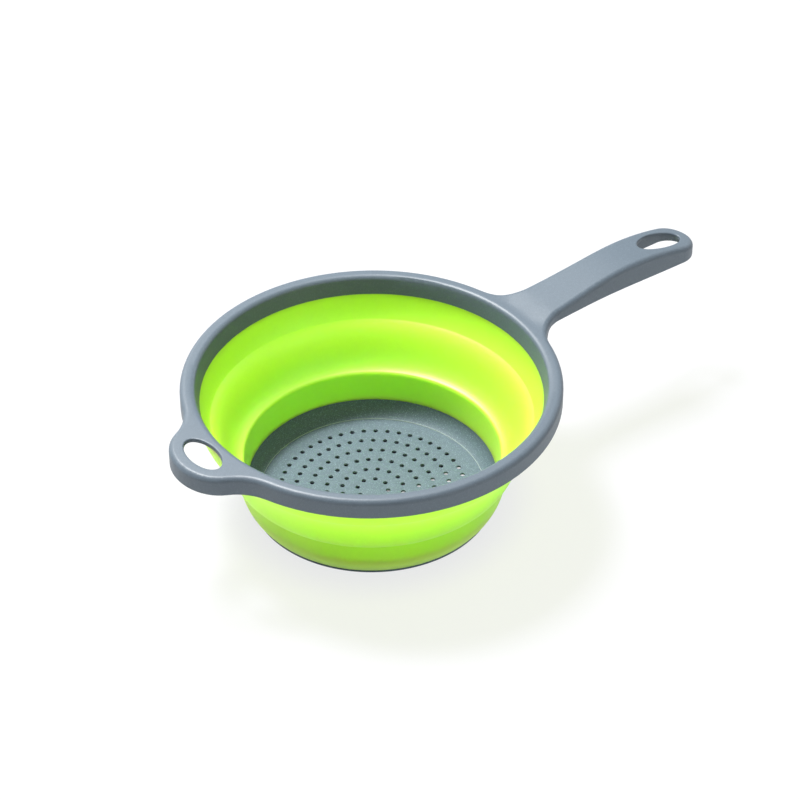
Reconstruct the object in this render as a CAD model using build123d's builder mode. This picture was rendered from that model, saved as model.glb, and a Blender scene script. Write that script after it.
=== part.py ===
# Collapsible colander: a stiff rim with a long handle and a helper tab, a flexible
# two-fold wall, and a stiff perforated base. Millimetres, +Z up, origin at the centre of
# the flat underside, handle along +X.
from build123d import *
import math
import os

os.makedirs("parts", exist_ok=True)

# Rim: an inverted U channel, open from below
rim_radius = 100.5  # outside of the skirt
rim_height = 76.8  # crest above the table
skirt_depth = 10.4  # crest down to the skirt's lower edge
channel_width = 10.0  # outside of the skirt to the lower edge of the inner wall
mouth_depth = 10.3  # crest down to the lower edge of the inner wall
mouth_draft = 2.4  # how far the inner wall leans outwards over its depth
rim_wall = 2.0  # walls of the channel, the tab and the handle
rim_roof = 2.2  # roof of the channel, the tab and the handle
crest_round = 3.0  # outer edge of the crest, the tab and the handle
mouth_round = 3.0  # inner edge of the crest

# Gussets across the channel, none under the handle or the tab
gusset_wall = 1.2
gusset_height = 3.6
gusset_spacing = 15.0  # degrees
gusset_free_angle = 25.0  # degrees left free each side of the handle and of the tab

# Helper tab opposite the handle: an oval with an oval hole
tab_overhang = 19.5  # how far the tab stands out of the rim
tab_half_length = 21.5
tab_half_width = 25.8
tab_open_angle = 120.0  # degrees of the oval left open, inside the rim
tab_root_round = 28.0
tab_hole_setback = 15.0  # centre of the hole from the tab's end
tab_hole_half_length = 7.3
tab_hole_half_width = 14.0

# Handle plan
handle_length = 117.6  # from the outside of the rim to the tip
handle_root_half_width = 15.0  # where its sides meet the mouth
handle_waist_half_width = 12.3
handle_waist_share = 0.39  # place of the waist along the handle
handle_end_half_width = 12.9
handle_end_length = 13.0
handle_root_round = 22.0

# Handle side view: the roof arches up from the crest, just outside the mouth's round, and the
# lower edge climbs at once to a level run
arch_rise = 9.7  # top of the arch over the crest
arch_inset = 4.0  # the roof begins to climb this far inside the rim's outer edge
arch_shares = (  # of the length, of the rise
    (0.047, 0.16),
    (0.17, 0.39),
    (0.34, 0.7),
    (0.58, 1.0),
    (0.85, 0.71),
    (1.0, 0.32),
)
belly_inset = 2.5  # the lower edge begins to climb this far inside the rim's outer edge
belly_depth = 3.7  # level run of the lower edge, below the crest
belly_root_shares = (0.03, 0.8)  # of the length, of the climb
belly_level_share = 0.1  # of the length

# Hanging hole
hang_hole_setback = 21.6  # centre of the hole from the tip
hang_hole_half_length = 14.6
hang_hole_half_width = 7.1
hole_edge_round = 0.8

# Cross ribs under the handle, from the rim to the hanging hole
rib_wall = 1.4
rib_first_place = 12.0  # out from the rim
rib_pitch = 17.0
rib_recess = 1.6  # the ribs end this far above the handle's lower edge

# Flexible wall, moulded on to the rim and on to the base
wall_thickness = 3.0
top_band_depth = 13.6  # lower edge of the rim's inner wall down to the crease
crease_inset = 4.7  # inside corner of the upper fold, in from the rim's inner wall
crease_drop = 1.2  # the outside corner sits this much lower
shoulder_width = 17.2  # crease to lip, inwards
shoulder_head_slope = 40.0  # degrees from level, just under the crease
shoulder_foot_slope = 45.0  # degrees from level, just above the lip
valley_shares = (0.46, 0.49)  # steepest place of the shoulder, across and up from the lip
valley_drop = 1.4
lower_band_depth = 17.6  # inside corner of the lower fold down to the base ring
lip_draft = 1.6  # the lower band leans in this much, from the lip down to the base ring
lip_drop = 4.4
lip_round = 2.4
lip_wall = 3.9  # thickness across the lower fold
band_wall = 2.1  # thickness round the base ring
band_rise = 0.5  # the band's rounded foot begins this far above the base ring
collar_height = 3.2  # the wall climbs this far behind the rim's inner wall
crease_zone_share = 0.14  # half height of the upper folding zone, of the shoulder's height
lip_zone_share = 0.19  # half height of the lower folding zone, of the shoulder's height

# Locking tongues that the wall's two ends are moulded round
tongue_wall = 0.8
tongue_depth = 3.0
tongue_inset = 0.7

# Base ring: a cove down to the disc, over a foot flange that carries the wall
ring_height = 11.0
ring_wall = 2.2
cove_width = 6.4  # upper edge of the ring to the edge of the disc
foot_tuck = 0.8  # the foot stands this far inside the ring's upper edge
foot_height = 1.6
foot_seat = 1.4  # width of the flange under the flexible wall
foot_round = 0.6

# Strainer disc, dropped into the ring's rebate
disc_thickness = 2.0
disc_lip_thickness = 1.0
disc_lip_width = 1.6
disc_gap = 0.08  # all round the disc
hole_radius = 1.3
hole_sides = 8
hole_pitch = 8.35  # between rings of holes, and from the centre to the first ring
hole_margin = 8.0  # least width left free of holes at the edge
holes_per_step = 8  # ring k has k times as many

overrun = 6.0  # cuts run this far past what they cut
level_share = 0.5  # faces whose normal rises more than this look up

# Radii, from the rim inwards
mouth_lean = mouth_draft / mouth_depth
mouth_radius = rim_radius - channel_width
mouth_top_radius = mouth_radius + mouth_draft
crease_radius = mouth_radius - crease_inset
lip_radius = crease_radius - shoulder_width
ring_top_radius = lip_radius - lip_draft
foot_radius = ring_top_radius - foot_tuck
disc_radius = ring_top_radius - cove_width
disc_body_radius = disc_radius - disc_lip_width

# Heights, from the crest down and from the table up
skirt_edge = rim_height - skirt_depth
mouth_edge = rim_height - mouth_depth
belly_height = rim_height - belly_depth
crease_height = mouth_edge - top_band_depth
lip_height = ring_height + lower_band_depth
disc_ledge = disc_thickness - disc_lip_thickness
crease_middle = crease_height - crease_drop / 2
lip_middle = lip_height - lip_drop / 2
crease_zone = crease_zone_share * (crease_height - lip_height)
lip_zone = lip_zone_share * (crease_height - lip_height)
full_height = rim_height + arch_rise + overrun
low = skirt_edge - overrun

# Places along the handle and the tab
handle_reach = rim_radius + handle_length
handle_end_centre = handle_reach - handle_end_length
handle_waist_place = rim_radius + handle_length * handle_waist_share
hang_hole_centre = handle_reach - hang_hole_setback
rib_run = handle_length - hang_hole_setback - hang_hole_half_length - rib_first_place
tab_reach = rim_radius + tab_overhang
tab_centre = tab_reach - tab_half_length
tab_hole_centre = tab_reach - tab_hole_setback

# Corners of the flexible wall's half section
crease = (crease_radius, crease_height)
crease_outside = (crease_radius + wall_thickness, crease_height - crease_drop)
lip = (lip_radius, lip_height)
lip_outside = (lip_radius + lip_wall, lip_height - lip_drop)
valley = (
    lip_radius + valley_shares[0] * (crease_radius - lip_radius),
    lip_height + valley_shares[1] * (crease_height - lip_height),
)
valley_outside = (valley[0] + math.sqrt(wall_thickness**2 - valley_drop**2), valley[1] - valley_drop)
band_foot = (ring_top_radius + ring_wall + band_wall, ring_height + band_rise)
collar_lean = mouth_lean * collar_height
band_lean = (-mouth_draft, -2 * mouth_depth)
ring_lean = (ring_top_radius - lip_radius, ring_height - lip_height)


def frame_plan(inset):
    """Plan of the rim, the tab and the handle, with rounded roots, drawn in by inset."""
    end_half_width = handle_end_half_width - inset
    root_half_width = handle_root_half_width - inset
    with BuildSketch() as plan:
        Circle(rim_radius - inset)
        with BuildLine():
            for side in (1, -1):
                Spline(
                    (mouth_radius, side * root_half_width),
                    (handle_waist_place, side * (handle_waist_half_width - inset)),
                    (handle_end_centre, side * end_half_width),
                    tangents=((1, 0), (1, 0)),
                )
            EllipticalCenterArc(
                (handle_end_centre, 0),
                handle_end_length - inset,
                end_half_width,
                start_angle=-90,
                arc_size=180,
            )
            Line((mouth_radius, -root_half_width), (mouth_radius, root_half_width))
        make_face()
        with BuildLine():
            tab_side = EllipticalCenterArc(
                (-tab_centre, 0),
                tab_half_length - inset,
                tab_half_width - inset,
                start_angle=tab_open_angle / 2,
                arc_size=360 - tab_open_angle,
            )
            Line(tab_side @ 0, tab_side @ 1)
        make_face()
        for side, root_round in ((1, handle_root_round), (-1, tab_root_round)):
            corners = [v for v in plan.vertices() if side * v.X > 0]
            corners.sort(key=lambda v: abs(v.center().length - rim_radius + inset))
            fillet(corners[:2], root_round + inset)
    return plan.sketch


def side_view(drop, floor_line):
    """Side view from the roof, lowered by drop, down to the lower edge or a floor below it."""
    back = -tab_reach - overrun
    front = handle_reach + overrun
    crest = rim_height - drop
    roof = [(rim_radius - arch_inset, crest)] + [
        (rim_radius + along * handle_length, crest + up * arch_rise) for along, up in arch_shares
    ]
    tip_fall = (roof[-1][0] - roof[-2][0], roof[-1][1] - roof[-2][1])
    belly_root = (
        rim_radius + belly_root_shares[0] * handle_length,
        skirt_edge + belly_root_shares[1] * (belly_height - skirt_edge),
    )
    belly_level = (rim_radius + belly_level_share * handle_length, floor_line)
    belly_start = (rim_radius - belly_inset, skirt_edge)
    with BuildSketch(Plane.XZ.offset(-rim_radius)) as view:
        with BuildLine():
            Line((back, crest), roof[0])
            Spline(*roof, tangents=((1, 0), tip_fall))
            Polyline(roof[-1], (front, roof[-1][1]), (front, floor_line))
            if floor_line < skirt_edge:
                Polyline((front, floor_line), (back, floor_line), (back, crest))
            else:
                Line((front, floor_line), belly_level)
                Spline(belly_level, belly_root, belly_start, tangents=((-1, 0), (-1, 0)))
                Polyline(belly_start, (back, skirt_edge), (back, crest))
        make_face()
    return view.sketch


# Hollow under the roof: everything within the walls, outside the inner wall of the rim
with BuildPart() as hollow:
    with BuildSketch(Plane.XY.offset(low)):
        add(frame_plan(rim_wall))
    extrude(amount=full_height - low)
    with BuildSketch(Plane.XZ.offset(-rim_radius)):
        add(side_view(rim_roof, low))
    extrude(amount=2 * rim_radius, mode=Mode.INTERSECT)
    with BuildSketch(Plane.XZ):
        with BuildLine():
            Polyline(
                (0, low),
                (mouth_radius + rim_wall, low),
                (mouth_radius + rim_wall, mouth_edge),
                (mouth_top_radius + rim_wall, rim_height),
                (0, rim_height),
                close=True,
            )
        make_face()
    revolve(axis=Axis.Z, mode=Mode.SUBTRACT)
    # plates left standing in the hollow: gussets across the channel, ribs across the handle
    with BuildSketch(Plane.XY.offset(rim_height - rim_roof - gusset_height)):
        for step in range(int(360 / gusset_spacing)):
            angle = step * gusset_spacing
            if gusset_free_angle < angle % 180 < 180 - gusset_free_angle:
                with PolarLocations(rim_radius - channel_width / 2, 1, start_angle=angle):
                    Rectangle(channel_width, gusset_wall)
    extrude(amount=gusset_height + rim_roof, mode=Mode.SUBTRACT)
    with BuildSketch(Plane.XY.offset(belly_height + rib_recess)):
        for rib in range(int(rib_run / rib_pitch)):
            with Locations((rim_radius + rib_first_place + rib * rib_pitch, 0)):
                Rectangle(rib_wall, 2 * handle_end_half_width + overrun)
    extrude(amount=full_height - belly_height - rib_recess, mode=Mode.SUBTRACT)

# Rim, tab and handle in one moulding
with BuildPart() as rim_handle_frame:
    with BuildSketch(Plane.XY.offset(low)):
        add(frame_plan(0))
    extrude(amount=full_height - low)
    with BuildSketch(Plane.XZ.offset(-rim_radius)):
        add(side_view(0, belly_height))
    extrude(amount=2 * rim_radius, mode=Mode.INTERSECT)
    # mouth, leaning outwards
    with BuildSketch(Plane.XZ):
        with BuildLine():
            Polyline(
                (0, low),
                (mouth_radius, low),
                (mouth_radius, mouth_edge),
                (mouth_radius + mouth_lean * (full_height - mouth_edge), full_height),
                (0, full_height),
                close=True,
            )
        make_face()
    revolve(axis=Axis.Z, mode=Mode.SUBTRACT)
    # crest, rounded along the outline and, more tightly, round the mouth
    roof_faces = rim_handle_frame.faces().filter_by(lambda f: f.normal_at().Z > level_share)
    crest_edges = roof_faces.edges().filter_by(GeomType.LINE, reverse=True)
    crest_edges = crest_edges.sort_by(lambda e: math.hypot(e.center().X, e.center().Y))
    fillet(crest_edges[1:], crest_round)
    mouth_crest = rim_handle_frame.edges().filter_by(GeomType.CIRCLE).sort_by(
        lambda e: abs(e.radius - mouth_top_radius)
    )[0]
    fillet(mouth_crest, mouth_round)
    add(hollow.part, mode=Mode.SUBTRACT)
    # cut the inner wall off at the top edge of the flexible wall, and leave its tongue
    with BuildSketch(Plane.XY.offset(low)):
        Circle(mouth_radius + rim_wall)
    extrude(amount=mouth_edge - low, mode=Mode.SUBTRACT)
    with BuildSketch(Plane.XZ):
        with Locations((mouth_radius + tongue_inset, mouth_edge - tongue_depth)):
            Rectangle(tongue_wall, tongue_depth + rim_wall / 2, align=(Align.MIN, Align.MIN))
    revolve(axis=Axis.Z)
    # helping-hand hole and hanging hole
    with BuildSketch(Plane.XY.offset(low)):
        with Locations((-tab_hole_centre, 0)):
            Ellipse(tab_hole_half_length, tab_hole_half_width)
        with Locations((hang_hole_centre, 0)):
            Ellipse(hang_hole_half_length, hang_hole_half_width)
    extrude(amount=full_height - low, mode=Mode.SUBTRACT)
    hole_edges = rim_handle_frame.edges(Select.LAST).sort_by(Axis.Z)
    for side in (1, -1):
        fillet([e for e in hole_edges if side * e.center().X > 0][-1], hole_edge_round)
rim_handle_frame.part.label = "rim_handle_frame"
export_step(rim_handle_frame.part, "parts/rim_handle_frame.step")


def fall(slope):
    """Direction inwards and down, slope degrees from level."""
    return (-math.cos(math.radians(slope)), -math.sin(math.radians(slope)))


def wall_section():
    """Half section of the flexible wall, from the rim's inner wall down to the ring's foot."""
    slopes = (fall(shoulder_head_slope), fall(shoulder_foot_slope))
    mouth = (mouth_radius, mouth_edge)
    mouth_outside = (mouth_radius + wall_thickness, mouth_edge)
    ring_top = (ring_top_radius, ring_height)
    ring_outside = (ring_top_radius + ring_wall, ring_height)
    seat = (foot_radius - foot_seat, foot_height)
    foot = (foot_radius, foot_height)
    with BuildSketch(Plane.XZ) as section:
        with BuildLine():
            # inside, from the top
            TangentArc(mouth, crease, tangent=band_lean)
            Spline(crease, valley, lip, tangents=slopes)
            Polyline(lip, ring_top, ring_outside)
            TangentArc(ring_outside, seat, tangent=ring_lean)
            Line(seat, foot)
            # outside, from the top
            TangentArc(mouth_outside, crease_outside, tangent=band_lean)
            Spline(crease_outside, valley_outside, lip_outside, tangents=slopes)
            Line(lip_outside, band_foot)
            band_fall = (band_foot[0] - lip_outside[0], band_foot[1] - lip_outside[1])
            TangentArc(band_foot, foot, tangent=band_fall)
            # collar behind the rim's inner wall
            Polyline(
                mouth,
                (mouth_radius + rim_wall, mouth_edge),
                (mouth_radius + rim_wall + collar_lean, mouth_edge + collar_height),
                (mouth_radius + wall_thickness + collar_lean, mouth_edge + collar_height),
                mouth_outside,
            )
        make_face()
        fillet(section.vertices().sort_by_distance(lip)[0], lip_round)
        fillet(section.vertices().sort_by_distance(lip_outside)[0], lip_round)
        # grooves round the tongues of the rim and of the ring
        with Locations((mouth_radius + tongue_inset, mouth_edge - tongue_depth)):
            Rectangle(tongue_wall, tongue_depth, align=(Align.MIN, Align.MIN), mode=Mode.SUBTRACT)
        with Locations((ring_top_radius + tongue_inset, ring_height)):
            Rectangle(tongue_wall, tongue_depth, align=(Align.MIN, Align.MIN), mode=Mode.SUBTRACT)
    return section.sketch


# Flexible wall: one moulding, in five zones that move or fold in their own way
section = wall_section()
zone_heights = {
    "wall_top_band": (crease_middle + crease_zone, rim_height),
    "wall_crease_fold": (crease_middle - crease_zone, crease_middle + crease_zone),
    "wall_shoulder": (lip_middle + lip_zone, crease_middle - crease_zone),
    "wall_lip_fold": (lip_middle - lip_zone, lip_middle + lip_zone),
    "wall_lower_band": (0, lip_middle - lip_zone),
}
for name, (floor, top) in zone_heights.items():
    with BuildPart() as wall_zone:
        with BuildSketch(Plane.XZ):
            add(section)
            with Locations((0, floor)):
                Rectangle(rim_radius, top - floor, align=(Align.MIN, Align.MIN), mode=Mode.INTERSECT)
        revolve(axis=Axis.Z)
    wall_zone.part.label = name
    export_step(wall_zone.part, f"parts/{name}.step")

# Base ring: a cove from the wall down to the disc, with a foot flange under the wall
with BuildPart() as base_ring:
    with BuildSketch(Plane.XZ):
        with BuildLine():
            TangentArc(
                (ring_top_radius, ring_height),
                (disc_radius + disc_gap, disc_thickness),
                tangent=ring_lean,
            )
            Polyline(
                (disc_radius + disc_gap, disc_thickness),
                (disc_radius + disc_gap, disc_ledge),
                (disc_body_radius + disc_gap, disc_ledge),
                (disc_body_radius + disc_gap, 0),
                (foot_radius, 0),
                (foot_radius, foot_height),
                (foot_radius - foot_seat, foot_height),
            )
            TangentArc(
                (ring_top_radius + ring_wall, ring_height),
                (foot_radius - foot_seat, foot_height),
                tangent=ring_lean,
            )
            Polyline(
                (ring_top_radius + ring_wall, ring_height),
                (ring_top_radius + tongue_inset + tongue_wall, ring_height),
                (ring_top_radius + tongue_inset + tongue_wall, ring_height + tongue_depth),
                (ring_top_radius + tongue_inset, ring_height + tongue_depth),
                (ring_top_radius + tongue_inset, ring_height),
                (ring_top_radius, ring_height),
            )
        make_face()
    revolve(axis=Axis.Z)
    foot_edge = base_ring.edges().filter_by(GeomType.CIRCLE).sort_by(
        lambda e: abs(e.radius - foot_radius) + abs(e.center().Z)
    )[0]
    fillet(foot_edge, foot_round)
base_ring.part.label = "base_ring"
export_step(base_ring.part, "parts/base_ring.step")

# Strainer disc: its upper lip rests on the ring's ledge, its holes stand in rings
with BuildPart() as strainer_disc:
    with BuildSketch():
        Circle(disc_body_radius)
    extrude(amount=disc_thickness)
    with BuildSketch(Plane.XY.offset(disc_ledge)):
        Circle(disc_radius)
    extrude(amount=disc_lip_thickness)
    with BuildSketch():
        for ring in range(1, int((disc_body_radius - hole_margin) / hole_pitch) + 1):
            with PolarLocations(ring * hole_pitch, ring * holes_per_step):
                RegularPolygon(hole_radius, hole_sides)
    extrude(amount=disc_thickness, mode=Mode.SUBTRACT)
strainer_disc.part.label = "strainer_disc"
export_step(strainer_disc.part, "parts/strainer_disc.step")
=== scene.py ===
"""Looks of the collapsible colander: grey rim with a long handle and a helper tab, green
folding wall, grey base ring and perforated floor. The scene is in metres, in the frame of the
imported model. Sizes of the pieces are in millimetres, and MM turns them into metres."""
import math

import bmesh
import bpy
import numpy as np
from mathutils import Matrix, Vector
from mathutils.geometry import delaunay_2d_cdt


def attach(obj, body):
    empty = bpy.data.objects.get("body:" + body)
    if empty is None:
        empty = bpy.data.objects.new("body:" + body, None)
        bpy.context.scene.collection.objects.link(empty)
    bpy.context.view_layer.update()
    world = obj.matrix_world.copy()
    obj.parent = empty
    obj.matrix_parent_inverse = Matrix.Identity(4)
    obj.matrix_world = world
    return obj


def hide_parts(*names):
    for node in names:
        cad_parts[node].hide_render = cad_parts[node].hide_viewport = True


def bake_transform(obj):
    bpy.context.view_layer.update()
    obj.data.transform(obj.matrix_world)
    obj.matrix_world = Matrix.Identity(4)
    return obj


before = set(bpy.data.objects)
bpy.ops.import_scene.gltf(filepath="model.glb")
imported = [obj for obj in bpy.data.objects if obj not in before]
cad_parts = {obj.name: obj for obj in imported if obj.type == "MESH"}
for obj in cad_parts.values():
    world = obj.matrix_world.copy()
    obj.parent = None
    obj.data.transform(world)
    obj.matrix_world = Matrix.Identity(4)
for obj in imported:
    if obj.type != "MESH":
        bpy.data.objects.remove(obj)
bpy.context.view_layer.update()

scene = bpy.context.scene
scene.view_settings.view_transform = "Standard"
MM = 0.001


def slope(degrees):
    """Direction inwards and down, that many degrees from level, as (radius, height)."""
    return -math.cos(math.radians(degrees)), -math.sin(math.radians(degrees))


# Half section of the bowl: each point is (radius, height) in millimetres, from the mouth down
WALL = 3.0  # thickness of the folding wall
RIM_WALL = 2.0  # thickness of the rim's inner wall
RING_WALL = 2.2  # thickness of the base ring
MOUTH_EDGE = (90.5, 66.5)  # lower edge of the rim's inner wall
MOUTH_LEAN = 2.4 / 10.3  # outward lean of the rim's inner wall
COLLAR_HEIGHT = 3.2  # the folding wall climbs this far behind the rim's inner wall
CREASE = (85.8, 52.9)  # corner of the upper fold
CREASE_OUTSIDE = (88.8, 51.7)
CREASE_ROUND = 2.0
VALLEY = (77.8, 39.7)  # steepest place of the shoulder
VALLEY_OUTSIDE = (80.5, 38.3)
LIP = (68.6, 28.6)  # corner of the lower fold
LIP_OUTSIDE = (72.5, 24.2)
LIP_ROUND = 2.0
RING_TOP = (67.0, 11.0)  # upper edge of the base ring
RING_TOP_OUTSIDE = (RING_TOP[0] + RING_WALL, RING_TOP[1])
BAND_FOOT = (71.3, 11.5)  # outside of the lower band, level with the ring's upper edge
FOOT = (66.2, 1.6)  # where the folding wall ends on the base ring's foot
SEAT = (64.8, 1.6)  # where the folding wall leaves the base ring's outside
FOOT_ROUND = 0.6
FOOT_ROUND_SHARE = 0.3  # place of the round's middle, as a share of the round

# Directions of the half section
BAND_FALL = (-2.4, -20.6)  # upper band, at the mouth
HEAD_SLOPE = slope(34)  # shoulder, just under the crease
FOOT_SLOPE = slope(8)  # shoulder, just above the lip
RING_LEAN = (RING_TOP[0] - LIP[0], RING_TOP[1] - LIP[1])
BAND_LEAN = (BAND_FOOT[0] - LIP_OUTSIDE[0], BAND_FOOT[1] - LIP_OUTSIDE[1])
FOOT_LEAN = (-0.66, -0.75)  # lower band, at its foot

# Points along each run of the half section, and round the axis
BAND_POINTS = 12
SHOULDER_POINTS = 40
LOWER_BAND_POINTS = 16
LOWER_OUTSIDE_POINTS = 36
UNDER_POINTS = 12
COVE_POINTS = 24
FOLD_POINTS = 9
TURN_SEGMENTS = 288

# Heights between which the base ring comes to back the folding wall, from the top down
UNBACKED_HEIGHT = 13.0
BACKED_HEIGHT = 8.0

# Strainer disc, and the bead of the base ring that stands round it
DISC_RADIUS = 60.6
DISC_GAP = 0.08
DISC_TOP = 2.0
DISC_UNDER = 0.8  # height of its underside
DISC_LIP = (59.0, 1.0)  # inner corner under the lip that rests on the base ring's ledge
DISC_EDGE_BREAK = 0.12  # bevel of its upper edge
DISC_SEGMENTS = 240
BEAD = 0.25
BEAD_SHARES = ((0.4, 0.9), (0.0, 0.4))  # its inner points, out from the bore and up
BEAD_PAINTED_GLINT = 0.28  # painted glint: how far the bead's colour turns to the lighter highlight grey
HOLE_RADIUS = 1.3
HOLE_ROUND = 0.18
HOLE_ROUND_LEVELS = 4
HOLE_PITCH = 8.35
HOLE_RINGS = 6
HOLES_PER_STEP = 8
HOLE_SEGMENTS = 20
INSIDE_WITH_HOLES = 2  # the triangulation keeps what lies inside the outline, less the holes
SAME_POINT = 1e-5  # the triangulation joins points that are closer

# Packed rim
DOUBLED_REACH = 0.002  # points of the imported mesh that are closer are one
LARGE_FACE_WEIGHT = 80


# Shapes
def spline(points, first, last, count):
    """Cubic spline through the points, with the chord lengths as its parameter and the given
    end directions. Each stretch is the Hermite cubic of its two ends and their slopes, and the
    slopes solve the equations that keep the curvature steady from one stretch to the next."""
    points = np.array(points, float)
    chords = np.linalg.norm(np.diff(points, axis=0), axis=1)
    knots = np.r_[0, chords.cumsum()]
    system = np.eye(len(points))
    target = np.zeros_like(points)
    target[0] = np.array(first, float) / np.linalg.norm(first)
    target[-1] = np.array(last, float) / np.linalg.norm(last)
    inner = np.arange(1, len(points) - 1)
    before, after = chords[inner - 1], chords[inner]
    system[inner, inner - 1] = after
    system[inner, inner] = 2 * (before + after)
    system[inner, inner + 1] = before
    steps = np.diff(points, axis=0) / chords[:, None]
    target[inner] = 3 * (after[:, None] * steps[inner - 1] + before[:, None] * steps[inner])
    slopes = np.linalg.solve(system, target)
    places = np.linspace(0, knots[-1], count)
    stretch = np.clip(np.searchsorted(knots, places, side="right") - 1, 0, len(points) - 2)
    width = chords[stretch][:, None]
    share = ((places - knots[stretch]) / chords[stretch])[:, None]
    return (
        (1 + 2 * share) * (1 - share) ** 2 * points[stretch]
        + share * (1 - share) ** 2 * width * slopes[stretch]
        + share**2 * (3 - 2 * share) * points[stretch + 1]
        + share**2 * (share - 1) * width * slopes[stretch + 1]
    )


def arc(start, end, heading, count):
    """Circular arc from start to end that leaves start along the heading. Its centre lies on the
    normal at start, at the chord squared over twice the chord's reach along that normal."""
    start, end = np.array(start, float), np.array(end, float)
    heading = np.array(heading, float) / np.linalg.norm(heading)
    normal = np.array([-heading[1], heading[0]])
    chord = end - start
    radius = chord @ chord / (2 * chord @ normal)
    centre = start + radius * normal
    turns = np.linspace(0, 2 * math.atan2(chord @ normal, chord @ heading), count)[:, None]
    spoke = start - centre
    across = np.array([-spoke[1], spoke[0]])
    return centre + np.cos(turns) * spoke + np.sin(turns) * across


def joined(first, second, radius):
    """Two runs that meet in a corner, joined by a round. Each is trimmed by the radius times the
    tangent of half the bend, and a cubic with the runs' own directions closes the gap."""
    into = first[-1] - first[-2]
    out = second[1] - second[0]
    into, out = into / np.linalg.norm(into), out / np.linalg.norm(out)
    half_bend = math.acos(np.clip(into @ out, -1, 1)) / 2
    reach = radius * math.tan(half_bend)
    corner = first[-1]
    first = first[np.linalg.norm(first - corner, axis=1) > reach]
    second = second[np.linalg.norm(second - corner, axis=1) > reach]
    start, end = corner - reach * into, corner + reach * out
    pull = 4 / 3 * math.tan(half_bend / 2) * radius
    share = np.linspace(0, 1, FOLD_POINTS)[:, None]
    curve = (
        (1 - share) ** 3 * start
        + 3 * (1 - share) ** 2 * share * (start + pull * into)
        + 3 * (1 - share) * share**2 * (end - pull * out)
        + share**3 * end
    )
    return np.vstack([first, curve, second])


def turned(profile):
    """A closed half section carried round the vertical axis: x is the radius times the cosine of
    the turn, y the radius times its sine. Quads join neighbouring points, closed both ways."""
    turns = np.linspace(0, 2 * math.pi, TURN_SEGMENTS, endpoint=False)
    radius, height = profile[:, 0], profile[:, 1]
    x = np.outer(np.cos(turns), radius)
    y = np.outer(np.sin(turns), radius)
    z = np.tile(height, (TURN_SEGMENTS, 1))
    here = np.arange(x.size).reshape(x.shape)
    beside = np.roll(here, -1, axis=0)
    onward = np.roll(here, -1, axis=1)
    across = np.roll(beside, -1, axis=1)
    faces = np.stack([here, beside, across, onward], axis=-1)
    return np.stack([x, y, z], axis=-1).reshape(-1, 3), faces.reshape(-1, 4)


def wall_profile():
    """Half section of the folding wall: down the inside, under the lower band along the base
    ring, up the outside and round the collar."""
    band = arc(MOUTH_EDGE, CREASE, BAND_FALL, BAND_POINTS)
    shoulder = spline([CREASE, VALLEY, LIP], HEAD_SLOPE, FOOT_SLOPE, SHOULDER_POINTS)
    lower = np.linspace(LIP, RING_TOP, LOWER_BAND_POINTS)
    inside = joined(joined(band, shoulder, CREASE_ROUND), lower, LIP_ROUND)
    under = arc(RING_TOP_OUTSIDE, SEAT, RING_LEAN, UNDER_POINTS)
    collar_foot = (MOUTH_EDGE[0] + RIM_WALL, MOUTH_EDGE[1])
    mouth_outside = (MOUTH_EDGE[0] + WALL, MOUTH_EDGE[1])
    band_outside = arc(mouth_outside, CREASE_OUTSIDE, BAND_FALL, BAND_POINTS)
    shoulder_outside = spline(
        [CREASE_OUTSIDE, VALLEY_OUTSIDE, LIP_OUTSIDE], HEAD_SLOPE, FOOT_SLOPE, SHOULDER_POINTS
    )
    lower_outside = spline(
        [LIP_OUTSIDE, BAND_FOOT, FOOT], BAND_LEAN, FOOT_LEAN, LOWER_OUTSIDE_POINTS
    )
    outside = joined(
        joined(band_outside, shoulder_outside, CREASE_ROUND), lower_outside, LIP_ROUND
    )
    collar_head = (collar_foot[0] + MOUTH_LEAN * COLLAR_HEIGHT, collar_foot[1] + COLLAR_HEIGHT)
    collar_back = (collar_head[0] + WALL - RIM_WALL, collar_head[1])
    return np.vstack([inside, under, outside[::-1], [collar_back, collar_head, collar_foot]])


def ring_profile():
    """Half section of the base ring, and how much painted light each of its points takes: cove,
    bead, rebate for the disc, underside, foot and the outside that the folding wall covers. The
    bead takes a painted glint, and the hidden outside is made light grey to throw light back into
    the wall's foot."""
    bore = DISC_RADIUS + DISC_GAP
    lip_bore = DISC_LIP[0] + DISC_GAP
    cove = arc(RING_TOP, (bore + BEAD, DISC_TOP + BEAD), RING_LEAN, COVE_POINTS)
    bead = [(bore + out * BEAD, DISC_TOP + up * BEAD) for out, up in BEAD_SHARES]
    rebate = [(bore, DISC_LIP[1]), (lip_bore, DISC_LIP[1]), (lip_bore, 0)]
    round_middle = FOOT_ROUND_SHARE * FOOT_ROUND
    under = [
        (FOOT[0] - FOOT_ROUND, 0),
        (FOOT[0] - round_middle, round_middle),
        (FOOT[0], FOOT_ROUND),
        FOOT,
    ]
    outside = arc(RING_TOP_OUTSIDE, SEAT, RING_LEAN, COVE_POINTS)[::-1]
    # painted light: a glint on the bead, and the full light grey on the outside that the wall hides
    tones = (0, BEAD_PAINTED_GLINT, 0, 1, 0)
    counts = (len(cove), len(bead), len(rebate) + len(under), len(outside) - 1, 1)
    return np.vstack([cove, bead, rebate, under, outside]), np.repeat(tones, counts)


def circles(centres, radius, height, segments):
    """One circle of points round each centre, all at one height, one circle after the other."""
    turns = np.linspace(0, 2 * math.pi, segments, endpoint=False)
    spokes = radius * np.stack([np.cos(turns), np.sin(turns)], axis=-1)
    flat = (centres[:, None, :] + spokes[None]).reshape(-1, 2)
    return np.column_stack([flat, np.full(len(flat), height)])


def tube_quads(first, second, count, segments):
    """Quads between two stacks of circles, given the numbers of their first points."""
    base = np.arange(count)[:, None] * segments
    here = np.arange(segments)[None]
    after = (here + 1) % segments
    first, second = first + base, second + base
    corners = [first + here, first + after, second + after, second + here]
    return np.stack(corners, axis=-1).reshape(-1, 4)


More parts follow.
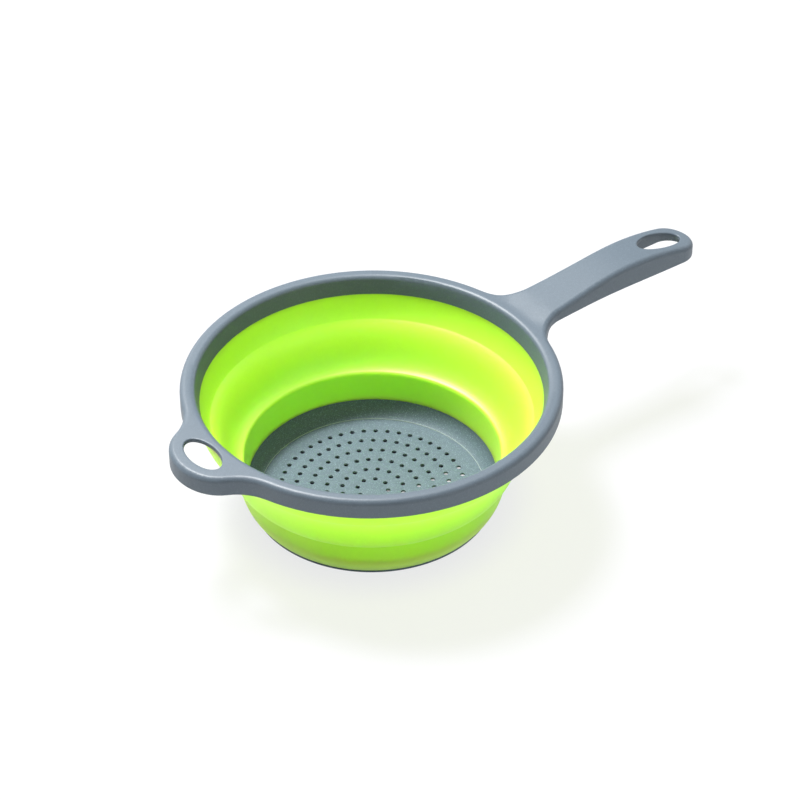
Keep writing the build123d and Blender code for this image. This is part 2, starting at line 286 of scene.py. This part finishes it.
def flat_fill(points, outline, holes, upwards):
    """Triangles of a flat face between its outline and its holes, both given as point numbers.
    Those whose corners turn the wrong way are turned over, so that all face up, or all down."""
    at = np.concatenate([outline, holes])
    hole_loops = np.arange(len(outline), len(at)).reshape(-1, HOLE_SEGMENTS)
    loops = [list(range(len(outline)))] + hole_loops.tolist()
    flat = points[at, :2].tolist()
    filled, sources = delaunay_2d_cdt(flat, [], loops, INSIDE_WITH_HOLES, SAME_POINT)[2:4]
    fill = at[np.array(sources).reshape(-1)[np.array(filled)]]
    corners = points[fill, :2]
    turn = np.cross(corners[:, 1] - corners[:, 0], corners[:, 2] - corners[:, 0])
    wrong = (turn < 0) == upwards
    fill[wrong] = fill[wrong][:, ::-1]
    return fill


def strainer_disc():
    """Disc with rings of round holes whose edges are softly rounded. Ring k lies k pitches from
    the middle and has k times as many holes as the first. Tubes of quads make the rounds, the
    holes' walls and the disc's edge, and the flat top and bottom are filled between them."""
    rings = np.arange(1, HOLE_RINGS + 1)
    steps = np.repeat(rings, rings * HOLES_PER_STEP)
    shares = [np.arange(ring * HOLES_PER_STEP) / (ring * HOLES_PER_STEP) for ring in rings]
    turns = 2 * math.pi * np.concatenate(shares)
    centres = HOLE_PITCH * steps[:, None] * np.stack([np.cos(turns), np.sin(turns)], axis=-1)
    count = len(centres)
    bends = np.linspace(0, math.pi / 2, HOLE_ROUND_LEVELS)
    round_radii = HOLE_RADIUS + HOLE_ROUND * (1 - np.sin(bends))
    round_heights = DISC_TOP - HOLE_ROUND * (1 - np.cos(bends))
    hole_levels = [*zip(round_radii, round_heights), (HOLE_RADIUS, DISC_UNDER)]
    edge_levels = [
        (DISC_RADIUS - DISC_EDGE_BREAK, DISC_TOP),
        (DISC_RADIUS, DISC_TOP - DISC_EDGE_BREAK),
        (DISC_RADIUS, DISC_LIP[1]),
        DISC_LIP,
        (DISC_LIP[0], DISC_UNDER),
    ]
    middle = np.zeros((1, 2))
    stacks = [circles(centres, radius, z, HOLE_SEGMENTS) for radius, z in hole_levels]
    stacks += [circles(middle, radius, z, DISC_SEGMENTS) for radius, z in edge_levels]
    points = np.vstack(stacks)
    starts = np.cumsum([0] + [len(stack) for stack in stacks])
    hole_starts, edge_starts = starts[: len(hole_levels)], starts[len(hole_levels) : -1]
    quads = [
        tube_quads(upper, lower, count, HOLE_SEGMENTS)
        for upper, lower in zip(hole_starts[:-1], hole_starts[1:])
    ]
    quads += [
        tube_quads(lower, upper, 1, DISC_SEGMENTS)
        for upper, lower in zip(edge_starts[:-1], edge_starts[1:])
    ]
    quads = np.vstack(quads)
    round_holes = np.arange(count * HOLE_SEGMENTS)
    round_edge = np.arange(DISC_SEGMENTS)
    top = flat_fill(points, edge_starts[0] + round_edge, hole_starts[0] + round_holes, True)
    bottom = flat_fill(points, edge_starts[-1] + round_edge, hole_starts[-1] + round_holes, False)
    return points, np.vstack([quads[:, [0, 1, 2]], quads[:, [0, 2, 3]], top, bottom])


def placed(name, data):
    """Object that shows a mesh, a lamp or a camera in the scene, at the origin."""
    item = bpy.data.objects.new(name, data)
    scene.collection.objects.link(item)
    return item


def make_piece(name, points, faces, sharp, painted_light=None):
    """Piece from points in millimetres and faces with the same number of corners, shaded smooth
    up to the sharp angle in degrees. The last argument, where it is given, holds for each point
    how much painted light its colour takes."""
    corners = faces.shape[1]
    mesh = bpy.data.meshes.new(name)
    mesh.vertices.add(len(points))
    mesh.vertices.foreach_set("co", (points * MM).astype(np.float32).ravel())
    mesh.loops.add(faces.size)
    mesh.loops.foreach_set("vertex_index", faces.astype(np.int32).ravel())
    mesh.polygons.add(len(faces))
    mesh.polygons.foreach_set("loop_start", np.arange(0, faces.size, corners, dtype=np.int32))
    mesh.polygons.foreach_set("loop_total", np.full(len(faces), corners, dtype=np.int32))
    mesh.update(calc_edges=True)
    mesh.validate()
    mesh.shade_smooth()
    mesh.set_sharp_from_angle(angle=math.radians(sharp))
    if painted_light is not None:
        layer = mesh.attributes.new("painted_light", "FLOAT", "POINT")
        layer.data.foreach_set("value", painted_light.astype(np.float32))
    return placed(name, mesh)


def smooth_copy(node, name, sharp):
    """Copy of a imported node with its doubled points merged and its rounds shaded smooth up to
    the sharp angle in degrees, large faces weighing more than small ones in the shading."""
    work = bmesh.new()
    work.from_mesh(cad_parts[node].data)
    bmesh.ops.remove_doubles(work, verts=work.verts, dist=DOUBLED_REACH * MM)
    mesh = bpy.data.meshes.new(name)
    work.to_mesh(mesh)
    work.free()
    mesh.materials.clear()
    for attribute in ("custom_normal", "sharp_edge", "sharp_face"):
        if attribute in mesh.attributes:
            mesh.attributes.remove(mesh.attributes[attribute])
    mesh.shade_smooth()
    mesh.set_sharp_from_angle(angle=math.radians(sharp))
    piece = placed(name, mesh)
    weighted = piece.modifiers.new("even_shading", "WEIGHTED_NORMAL")
    weighted.keep_sharp = True
    weighted.weight = LARGE_FACE_WEIGHT
    return piece


# Shader building blocks, which take numbers, tuples or the outputs of other nodes
def feed(tree, socket, value):
    """Link the socket to an output, or set it to a number or a tuple."""
    if isinstance(value, bpy.types.NodeSocket):
        tree.links.new(value, socket)
    else:
        socket.default_value = value


def worked(tree, operation, *values, clamp=False):
    """The values put together by one operation."""
    node = tree.nodes.new("ShaderNodeMath")
    node.operation = operation
    node.use_clamp = clamp
    for socket, value in zip(node.inputs, values):
        feed(tree, socket, value)
    return node.outputs[0]


def scaled(tree, colour, factor):
    """The colour times the factor."""
    node = tree.nodes.new("ShaderNodeVectorMath")
    node.operation = "SCALE"
    feed(tree, node.inputs[0], colour)
    feed(tree, node.inputs["Scale"], factor)
    return node.outputs[0]


def ranged(tree, value, start, end, low, high, way="LINEAR"):
    """Runs from low to high while the value runs from start to end."""
    node = tree.nodes.new("ShaderNodeMapRange")
    node.interpolation_type = way
    feed(tree, node.inputs["Value"], value)
    feed(tree, node.inputs["From Min"], start)
    feed(tree, node.inputs["From Max"], end)
    feed(tree, node.inputs["To Min"], low)
    feed(tree, node.inputs["To Max"], high)
    return node.outputs["Result"]


def mixed(tree, share, first, second):
    """The first colour, turning to the second as the share rises to 1."""
    node = tree.nodes.new("ShaderNodeMix")
    node.data_type = "RGBA"
    feed(tree, node.inputs["Factor"], share)
    feed(tree, node.inputs["A"], first)
    feed(tree, node.inputs["B"], second)
    return node.outputs["Result"]


def noise(tree, place, scale, detail):
    """Soft noise, about a half give or take, at a place."""
    node = tree.nodes.new("ShaderNodeTexNoise")
    feed(tree, node.inputs["Vector"], place)
    feed(tree, node.inputs["Scale"], scale)
    feed(tree, node.inputs["Detail"], detail)
    return node.outputs["Fac"]


# Materials
MOTTLE_RANGE = (0.3, 0.7)  # noise that gives the darkest and the lightest mottle
MOTTLE_DETAIL = 3
SPECK_RANGE = (0.56, 0.74)  # noise at which a speck begins and is full
SPECK_FINENESS = 2.7  # specks are this much finer than the mottle
SPECK_DETAIL = 1
GRAIN_HEIGHT = 0.0001  # metres
# Lighter grey that the greys turn to where light is painted into them
PAINTED_LIGHT_GREY = (0.85, 0.95, 0.9)
BACKED_SCATTER = 0.1  # weight of the wall's scattered light where the base ring backs it


def linear(*display):
    """Display colour, 0 to 255, as linear light: the darkest tones in proportion, the others
    to the power 2.4."""
    share = np.array(display, float) / 255
    return tuple(np.where(share <= 0.04045, share / 12.92, ((share + 0.055) / 1.055) ** 2.4))


def moulding_grain():
    """Fine moulding grain. The colour is scaled by 1 give or take the mottle, after a coarse
    noise, and by 1 plus the speckle where a finer noise peaks. The two noises add up to the
    height."""
    group = bpy.data.node_groups.new("moulding_grain", "ShaderNodeTree")
    face = group.interface
    face.new_socket("Place", in_out="INPUT", socket_type="NodeSocketVector")
    face.new_socket("Scale", in_out="INPUT", socket_type="NodeSocketFloat")
    face.new_socket("Colour", in_out="INPUT", socket_type="NodeSocketColor")
    face.new_socket("Mottle", in_out="INPUT", socket_type="NodeSocketFloat")
    face.new_socket("Speckle", in_out="INPUT", socket_type="NodeSocketFloat")
    face.new_socket("Colour", in_out="OUTPUT", socket_type="NodeSocketColor")
    face.new_socket("Height", in_out="OUTPUT", socket_type="NodeSocketFloat")
    given = group.nodes.new("NodeGroupInput").outputs
    result = group.nodes.new("NodeGroupOutput").inputs
    coarse = noise(group, given["Place"], given["Scale"], MOTTLE_DETAIL)
    darkest = worked(group, "SUBTRACT", 1, given["Mottle"])
    lightest = worked(group, "ADD", 1, given["Mottle"])
    mottle = ranged(group, coarse, *MOTTLE_RANGE, darkest, lightest)
    fine_scale = worked(group, "MULTIPLY", given["Scale"], SPECK_FINENESS)
    fine = noise(group, given["Place"], fine_scale, SPECK_DETAIL)
    speck = ranged(group, fine, *SPECK_RANGE, 0, 1)
    speck_light = worked(group, "MULTIPLY_ADD", speck, given["Speckle"], 1)
    mottled = scaled(group, given["Colour"], mottle)
    feed(group, result["Colour"], scaled(group, mottled, speck_light))
    feed(group, result["Height"], worked(group, "ADD", coarse, fine))
    return group


GRAIN = moulding_grain()


def shader_of(material):
    """The material's shader, with its nodes switched on."""
    material.use_nodes = True
    return material.node_tree.nodes["Principled BSDF"]


def moulded(name, colour, painted_light_tone, roughness, scale, mottle, speckle, bump, **more):
    """Moulded plastic or elastomer with a fine grain in its colour and its height. Where the
    piece's painted light value rises to 1 the colour turns to the lighter tone: painted light,
    such as a painted glint."""
    material = bpy.data.materials.new(name)
    shader = shader_of(material)
    tree = material.node_tree
    grain = tree.nodes.new("ShaderNodeGroup")
    grain.node_tree = GRAIN
    feed(tree, grain.inputs["Place"], tree.nodes.new("ShaderNodeTexCoord").outputs["Object"])
    feed(tree, grain.inputs["Scale"], scale)
    feed(tree, grain.inputs["Colour"], (*colour, 1))
    feed(tree, grain.inputs["Mottle"], mottle)
    feed(tree, grain.inputs["Speckle"], speckle)
    painted_light = tree.nodes.new("ShaderNodeAttribute")
    painted_light.attribute_name = "painted_light"
    with_painted_light = mixed(tree, painted_light.outputs["Fac"], grain.outputs["Colour"], (*painted_light_tone, 1))
    bumps = tree.nodes.new("ShaderNodeBump")
    feed(tree, bumps.inputs["Strength"], bump)
    feed(tree, bumps.inputs["Distance"], GRAIN_HEIGHT)
    feed(tree, bumps.inputs["Height"], grain.outputs["Height"])
    shader.inputs["Base Color"].default_value = (*colour, 1)
    feed(tree, shader.inputs["Base Color"], with_painted_light)
    feed(tree, shader.inputs["Roughness"], roughness)
    feed(tree, shader.inputs["Normal"], bumps.outputs["Normal"])
    for socket, value in more.items():
        feed(tree, shader.inputs[socket.replace("_", " ")], value)
    return material


def rim_grey_satin():
    """Grey satin plastic of the rim, the handle and the tab."""
    return moulded(
        "rim_grey_satin",
        linear(79, 91, 101),
        PAINTED_LIGHT_GREY,
        roughness=0.46,
        scale=700,
        mottle=0.04,
        speckle=0.25,
        bump=0.4,
    )


def base_grey_matte():
    """Speckled grey matte plastic of the base ring and the strainer disc."""
    return moulded(
        "base_grey_matte",
        linear(86, 100, 108),
        PAINTED_LIGHT_GREY,
        roughness=0.5,
        scale=700,
        mottle=0.06,
        speckle=0.9,
        bump=0.6,
        Specular_IOR_Level=0.15,
    )


def lime_elastomer():
    """Lime elastomer of the folding wall, which scatters light under its surface, but hardly
    does where the base ring backs it. There its colour turns to a lighter lime: painted light in
    place of the glow that the ring behind it takes away."""
    material = moulded(
        "lime_elastomer",
        (0.42, 0.685, 0.05),
        # lighter lime of the painted light where the base ring backs the wall
        (0.54, 0.90, 0.075),
        roughness=0.45,
        scale=500,
        mottle=0.01,
        speckle=0.0,
        bump=0.06,
        Subsurface_Weight=1.0,
        Subsurface_Scale=0.008,
        Subsurface_Radius=(1.15, 1.4, 0.4),
    )
    tree = material.node_tree
    backed = tree.nodes["Attribute"].outputs["Fac"]
    scatter = ranged(tree, backed, 0, 1, 1.0, BACKED_SCATTER)
    feed(tree, shader_of(material).inputs["Subsurface Weight"], scatter)
    return material


RIM_GREY = rim_grey_satin()
BASE_GREY = base_grey_matte()
LIME = lime_elastomer()

# Folding wall
points, faces = turned(wall_profile())
# Where the base ring backs the wall, its colour takes painted light and its scattering is cut
backed = np.clip((UNBACKED_HEIGHT - points[:, 2]) / (UNBACKED_HEIGHT - BACKED_HEIGHT), 0, 1)
wall = make_piece("wall_sheet", points, faces, sharp=50.0, painted_light=backed)
wall.data.materials.append(LIME)
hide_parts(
    "wall_top_band", "wall_crease_fold", "wall_shoulder", "wall_lip_fold", "wall_lower_band"
)
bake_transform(wall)

# Base ring
profile, painted_light = ring_profile()
points, faces = turned(profile)
ring = make_piece("base_cove_ring", points, faces, sharp=60.0, painted_light=np.tile(painted_light, TURN_SEGMENTS))
ring.data.materials.append(BASE_GREY)
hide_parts("base_ring")
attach(ring, "base_body")

# Strainer disc
points, faces = strainer_disc()
disc = make_piece("strainer_floor", points, faces, sharp=40.0)
disc.data.materials.append(BASE_GREY)
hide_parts("strainer_disc")
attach(disc, "base_body")

# Rim, handle and tab
rim = smooth_copy("rim_handle_frame", "rim_and_handle", sharp=32.0)
rim.data.materials.append(RIM_GREY)
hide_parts("rim_handle_frame")
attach(rim, "rim_body")

# Floor, light and camera, metres: their places are turned with the camera about the bowl's axis
TURN = math.radians(-36)
FLOOR_REACH = 6
FLOOR_DROP = 0.0001
FLOOR_ROUGHNESS = 0.9
FLOOR_BOUNCE = (0.8, 0.8, 0.8, 1)  # colour of the floor for the light that it throws back
FLOOR_TONE = (0.066, 0.061, 0.095, 1)  # colour of the floor for the camera, under its glow
FLOOR_GLOW = (0.842, 0.858, 0.79, 1)
CONTACT_PAINTED_SHADE = (0.92, 0.905, 0.99, 1)  # painted contact shadow: the glow is darkened and tinted by this close to the foot
CONTACT_SHADE_REACH = (0.066, 0.095)
PAINTED_SHADE_PLACE = (-0.0116, 0.0748, 0)  # centre of the painted shade under the disc: within it the glow is taken away, so the floor shows dark through the holes, and beyond it the glow shows through them as painted light
PAINTED_SHADE_REACH = (0.0735, 0.082)
# the painted shade under the disc stays within this reach of the axis
FOOT_REACH = (0.063, 0.066)
SURROUND_LIGHT = 0.37  # strength of the surround as light
SURROUND_MIRRORED = 0.7  # strength of the surround in reflections
KEY_TARGET = (0.03, 0.02, 0.05)
KEY_DISTANCE = 1.75
KEY_AZIMUTH = math.radians(138)
KEY_ELEVATION = math.radians(63)
PICTURE_PIXELS = 800
FOCAL_PIXELS = 2657.73
SENSOR_MM = 36
CAMERA_ELEVATION = 0.662145
CAMERA_ROLL = 0.00436
CAMERA_TARGET = (0.014855, 0, 0.062599)
CAMERA_DISTANCE = 1.4


def from_view(x, y, z):
    """Point of the frame that looks along the camera's ground direction, as a point of the part."""
    return Matrix.Rotation(TURN, 3, "Z") @ Vector((x, y, z))


def beyond(tree, spot, centre, reach):
    """Mask of the floor: 0 within the first reach of the centre, 1 beyond the second."""
    apart = tree.nodes.new("ShaderNodeVectorMath")
    apart.operation = "DISTANCE"
    feed(tree, apart.inputs[0], spot)
    feed(tree, apart.inputs[1], centre)
    return ranged(tree, apart.outputs["Value"], *reach, 0, 1, way="SMOOTHSTEP")


def floor_white():
    """White floor that the camera sees as a glow under soft shadows, with a painted contact shadow
    close to the foot, and painted shade under the disc where the glow is taken away, so that the
    floor shows dark through some holes and the glow shows through the others as painted light."""
    material = bpy.data.materials.new("floor_white")
    shader = shader_of(material)
    tree = material.node_tree
    rays = tree.nodes.new("ShaderNodeLightPath").outputs
    seen = worked(tree, "ADD", rays["Is Camera Ray"], rays["Is Glossy Ray"], clamp=True)
    spot = tree.nodes.new("ShaderNodeTexCoord").outputs["Object"]
    past_painted_shade = beyond(tree, spot, from_view(*PAINTED_SHADE_PLACE), PAINTED_SHADE_REACH)
    past_foot = beyond(tree, spot, (0, 0, 0), FOOT_REACH)
    past_contact_shade = beyond(tree, spot, (0, 0, 0), CONTACT_SHADE_REACH)
    glow = worked(tree, "MULTIPLY", seen, worked(tree, "MAXIMUM", past_painted_shade, past_foot))
    contact_shaded_glow = [first * second for first, second in zip(FLOOR_GLOW, CONTACT_PAINTED_SHADE)]
    feed(tree, shader.inputs["Roughness"], FLOOR_ROUGHNESS)
    feed(tree, shader.inputs["Base Color"], mixed(tree, seen, FLOOR_BOUNCE, FLOOR_TONE))
    feed(tree, shader.inputs["Emission Strength"], glow)
    feed(tree, shader.inputs["Emission Color"], mixed(tree, past_contact_shade, contact_shaded_glow, FLOOR_GLOW))
    return material


def studio_surround():
    """Even white surround: full for the camera, weaker as light, stronger in reflections."""
    world = bpy.data.worlds.new("studio")
    world.use_nodes = True
    tree = world.node_tree
    surround = tree.nodes["Background"]
    rays = tree.nodes.new("ShaderNodeLightPath").outputs
    more = SURROUND_MIRRORED - SURROUND_LIGHT
    light = worked(tree, "MULTIPLY_ADD", rays["Is Glossy Ray"], more, SURROUND_LIGHT)
    feed(tree, surround.inputs["Color"], (1, 1, 1, 1))
    feed(tree, surround.inputs["Strength"], worked(tree, "MAXIMUM", rays["Is Camera Ray"], light))
    return world


def lamp(name, place, target, size, power):
    """Square soft lamp at a place of the camera's frame, aimed at a target there."""
    light = bpy.data.lights.new(name, "AREA")
    light.size = size
    light.energy = power
    lit = placed(name, light)
    lit.location = from_view(*place)
    lit.rotation_euler = (from_view(*target) - lit.location).to_track_quat("-Z", "Y").to_euler()


def photo_camera():
    """Camera at the photo's angle: its axes are the ground direction and the two that its
    elevation gives, rolled a little, and it stands back from its target along its own axis."""
    sight = bpy.data.cameras.new("photo_view")
    sight.sensor_width = SENSOR_MM
    sight.lens = SENSOR_MM * FOCAL_PIXELS / PICTURE_PIXELS
    camera = placed("photo_view", sight)
    rise, level = math.sin(CAMERA_ELEVATION), math.cos(CAMERA_ELEVATION)
    across, up, back = Vector((1, 0, 0)), Vector((0, rise, level)), Vector((0, -level, rise))
    roll_share, level_share = math.sin(CAMERA_ROLL), math.cos(CAMERA_ROLL)
    right = level_share * across - roll_share * up
    top = roll_share * across + level_share * up
    turn = Matrix((right, top, back)).transposed().to_4x4()
    place = Vector(CAMERA_TARGET) + CAMERA_DISTANCE * back
    camera.matrix_world = Matrix.Rotation(TURN, 4, "Z") @ Matrix.Translation(place) @ turn
    return camera


# Floor
floor_mesh = bpy.data.meshes.new("floor")
floor_corners = [
    (x * FLOOR_REACH, y * FLOOR_REACH, -FLOOR_DROP) for x, y in ((-1, -1), (1, -1), (1, 1), (-1, 1))
]
floor_mesh.from_pydata(floor_corners, [], [(0, 1, 2, 3)])
floor = placed("floor", floor_mesh)
floor.data.materials.append(floor_white())

# Light and camera
scene.world = studio_surround()
KEY_SIDE = KEY_DISTANCE * math.cos(KEY_ELEVATION)
KEY_PLACE = (
    KEY_TARGET[0] + KEY_SIDE * math.cos(KEY_AZIMUTH),
    KEY_TARGET[1] + KEY_SIDE * math.sin(KEY_AZIMUTH),
    KEY_TARGET[2] + KEY_DISTANCE * math.sin(KEY_ELEVATION),
)
lamp("key", KEY_PLACE, target=KEY_TARGET, size=0.5, power=72)
lamp("fill", (1.1, 0.9, 1.0), target=(0, 0, 0.05), size=0.9, power=3)
lamp("low_right", (0.85, -0.6, 0.3), target=(0.03, 0, 0.04), size=0.7, power=2)
lamp("low_left", (-0.8, 1.1, 0.5), target=(0.03, 0.02, 0.05), size=0.8, power=3)
scene.camera = photo_camera()
